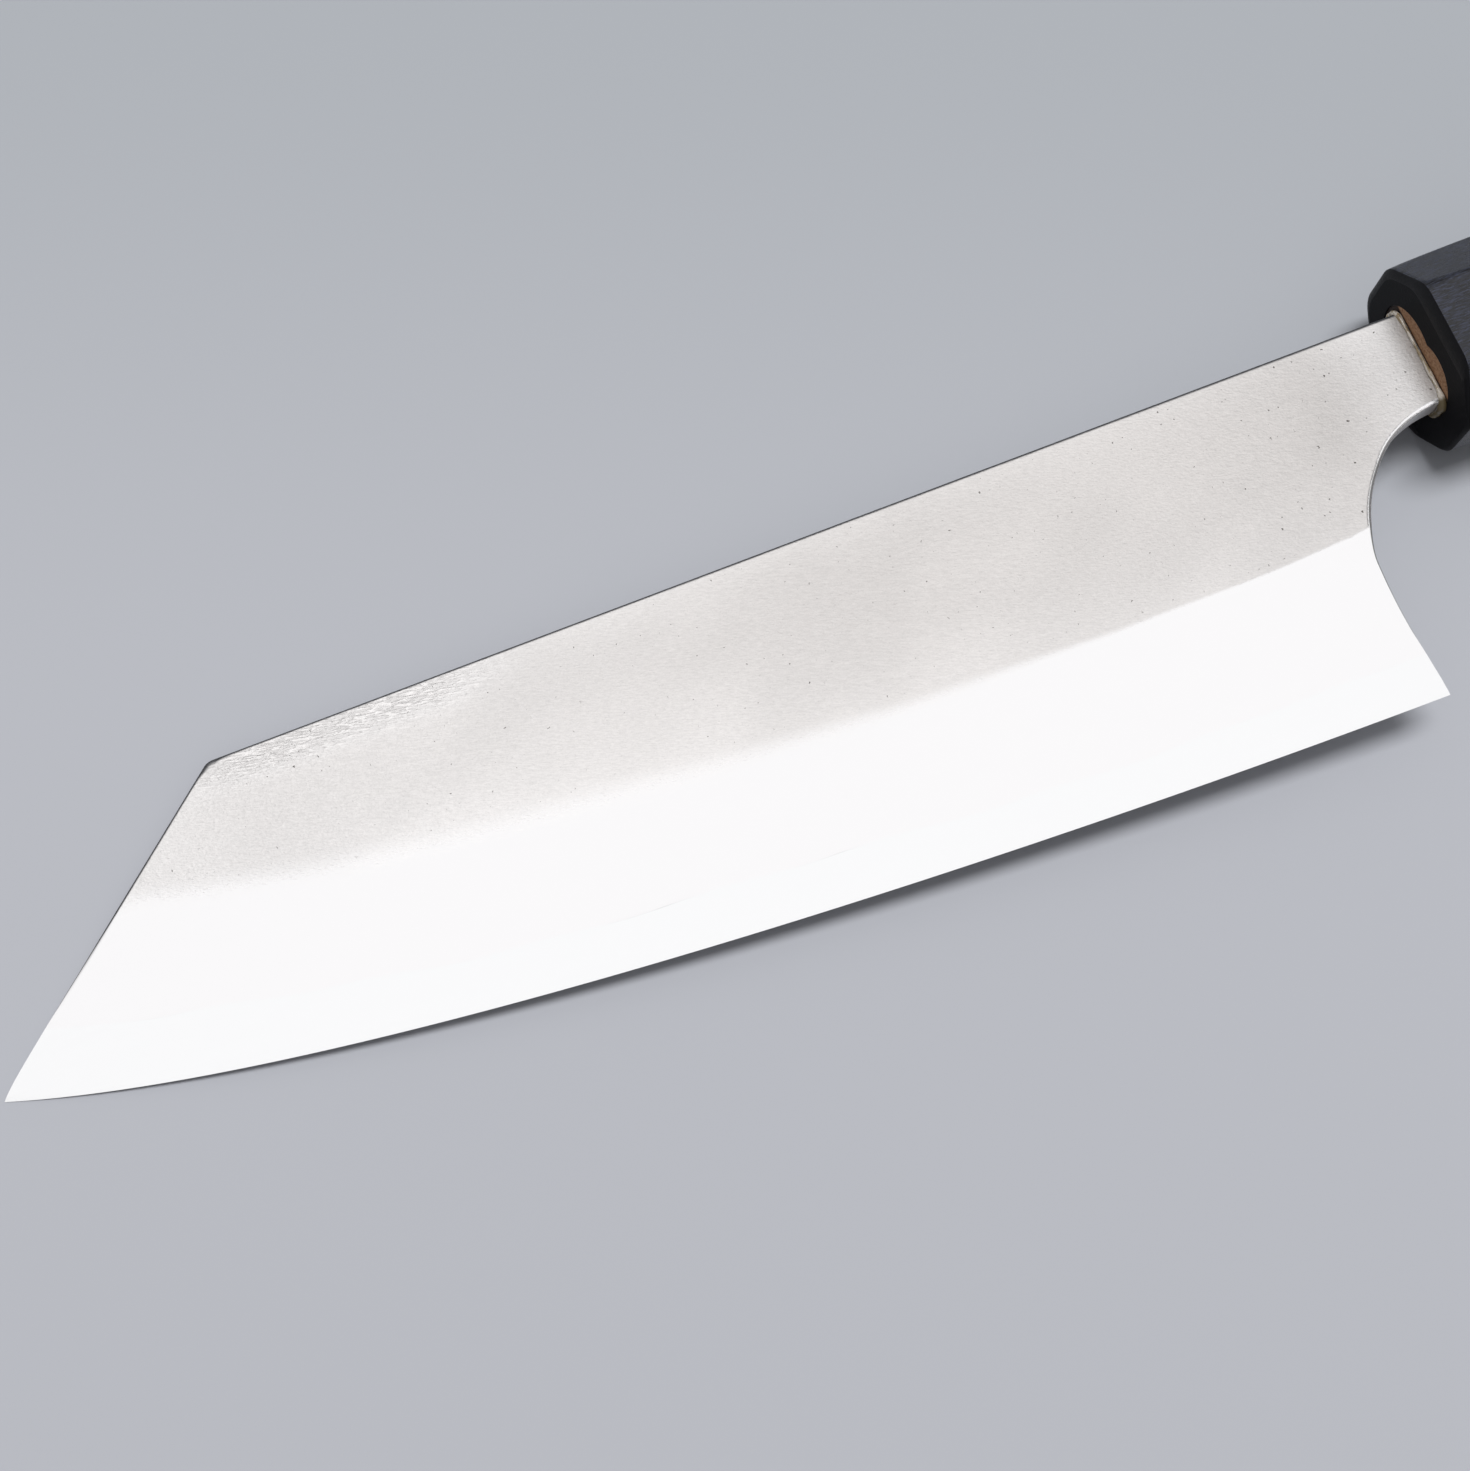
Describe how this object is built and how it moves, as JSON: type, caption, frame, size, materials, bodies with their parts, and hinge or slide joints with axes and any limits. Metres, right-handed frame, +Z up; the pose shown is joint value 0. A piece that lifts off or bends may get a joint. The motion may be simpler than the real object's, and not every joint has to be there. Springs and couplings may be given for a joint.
{
  "type": "bunka kitchen knife",
  "caption": "Bunka kitchen knife: laminated blade with a clipped point, wide polished bevels and pear-skin flats, in a black octagonal handle with a brown wood core round the tang.",
  "frame": {"origin": "middle of the footprint of the knife lying on its side, at the level of the handle's lower flat", "axes": "+X along the handle from the blade to the butt, +Y from the cutting edge to the spine, +Z up, square to the blade"},
  "size_m": [0.3342, 0.0546, 0.0209],
  "materials": {
    "hard_steel": "polished on the bevel, down to a bright cutting edge",
    "soft_steel": "pear-skin satin on the flats, polished on the bevels",
    "black_horn": "polished buffalo horn",
    "ebony": "sanded and oiled, fine grain",
    "brown_wood": "bare wood, charred along the tang's slot",
    "clear_resin": "hardened clear resin, glossy"
  },
  "bodies": {
    "root": {"core_steel": "hard_steel", "cladding_left": "soft_steel", "cladding_right": "soft_steel", "ferrule": "black_horn", "handle_body": "ebony", "wood_core": "brown_wood", "resin_seal": "clear_resin"}
  },
  "joints": []
}
